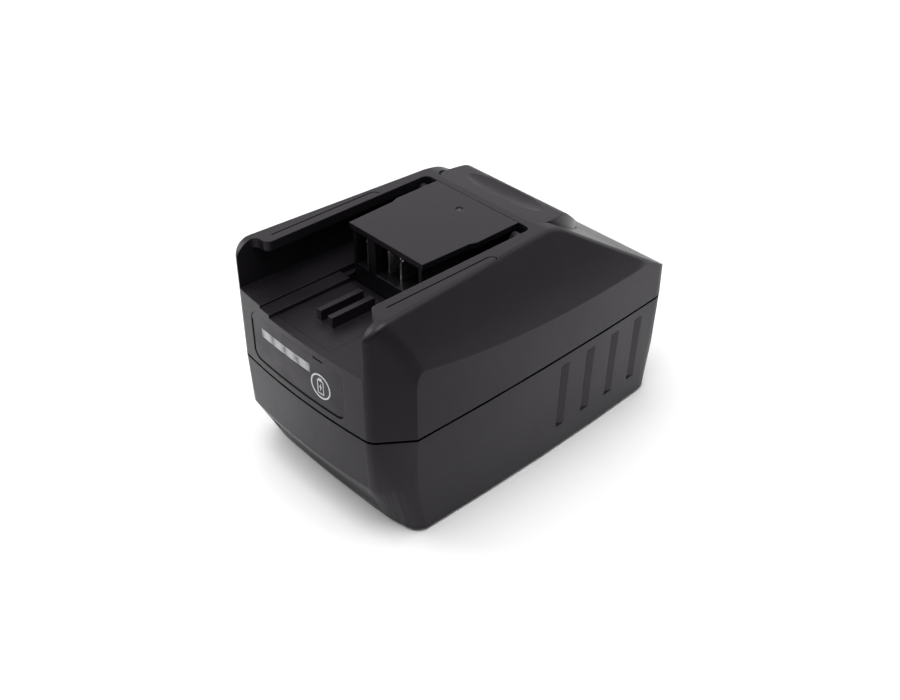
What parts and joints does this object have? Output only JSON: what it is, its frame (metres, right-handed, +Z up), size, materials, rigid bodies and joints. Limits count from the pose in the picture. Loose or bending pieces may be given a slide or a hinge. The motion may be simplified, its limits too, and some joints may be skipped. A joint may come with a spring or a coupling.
{
  "type": "power tool battery pack",
  "caption": "Dark block-shaped battery pack with a rail channel and raised terminal block on top, a charge gauge in its front and a sprung release paddle at its rear.",
  "frame": {"origin": "middle of the bounding box of the underside", "axes": "+Z up, the gauge face looks along -Y, the release paddle is at +Y, +X is to the right when looking at the gauge from the tool's side with the pack upright and +Y away"},
  "size_m": [0.078, 0.126, 0.0781],
  "materials": {
    "case_plastic": "fine moulded texture, near black",
    "block_plastic": "fine moulded texture, near black",
    "paddle_plastic": "fine moulded texture, near black",
    "contact_metal": "tinned, bright",
    "panel_plastic": "satin inlay, dark grey",
    "window_plastic": "milky clear, segment marks",
    "button_plastic": "satin with a pale ring and sign",
    "switch_body": "black",
    "led_body": "pale lens",
    "board_laminate": "green solder mask",
    "ribbon_film": "amber film",
    "component_body": "black moulding",
    "bead_epoxy": "black bead",
    "foam": "closed-cell foam",
    "inner_plastic": "natural white moulding",
    "screw_steel": "blackened",
    "spring_steel": "drawn wire",
    "strap_nickel": "rolled nickel",
    "insulator_sheet": "pressed paper board",
    "cell_sleeve": "shrink sleeve over a steel can"
  },
  "bodies": {
    "pack": {"blade_negative": "contact_metal", "blade_positive": "contact_metal", "blade_signal": "contact_metal", "board_parts": "component_body", "board_screws": "screw_steel", "case_screws": "screw_steel", "cell_1": "cell_sleeve", "cell_10": "cell_sleeve", "cell_2": "cell_sleeve", "cell_3": "cell_sleeve", "cell_4": "cell_sleeve", "cell_5": "cell_sleeve", "cell_6": "cell_sleeve", "cell_7": "cell_sleeve", "cell_8": "cell_sleeve", "cell_9": "cell_sleeve", "cell_holder_left": "inner_plastic", "cell_holder_right": "inner_plastic", "control_board": "board_laminate", "foam_pad": "foam", "gauge_board": "board_laminate", "gauge_leds": "led_body", "gauge_panel": "panel_plastic", "gauge_ribbon": "ribbon_film", "latch_spring_left": "spring_steel", "latch_spring_right": "spring_steel", "led_window": "window_plastic", "lower_case": "case_plastic", "side_insulator_left": "insulator_sheet", "side_insulator_right": "insulator_sheet", "spring_seat": "inner_plastic", "strap_left_1": "strap_nickel", "strap_left_2": "strap_nickel", "strap_left_3": "strap_nickel", "strap_right_1": "strap_nickel", "strap_right_2": "strap_nickel", "strap_right_3": "strap_nickel", "tact_switch": "switch_body", "terminal_block": "block_plastic", "thermistor": "bead_epoxy", "upper_case": "case_plastic"},
    "paddle": {"release_paddle": "paddle_plastic"},
    "button": {"gauge_button": "button_plastic"}
  },
  "joints": [
    {"name": "paddle_press", "type": "slide", "parent": "pack", "child": "paddle", "axis": [0, 0, -1], "range_m": [0, 0.004], "stiffness_N_per_m": 1500, "springref_m": -0.003, "deforming": ["latch_spring_left", "latch_spring_right"]},
    {"name": "gauge_press", "type": "slide", "parent": "pack", "child": "button", "axis": [0, 1, 0], "range_m": [0, 0.0005], "stiffness_N_per_m": 2000, "springref_m": -0.0002}
  ]
}
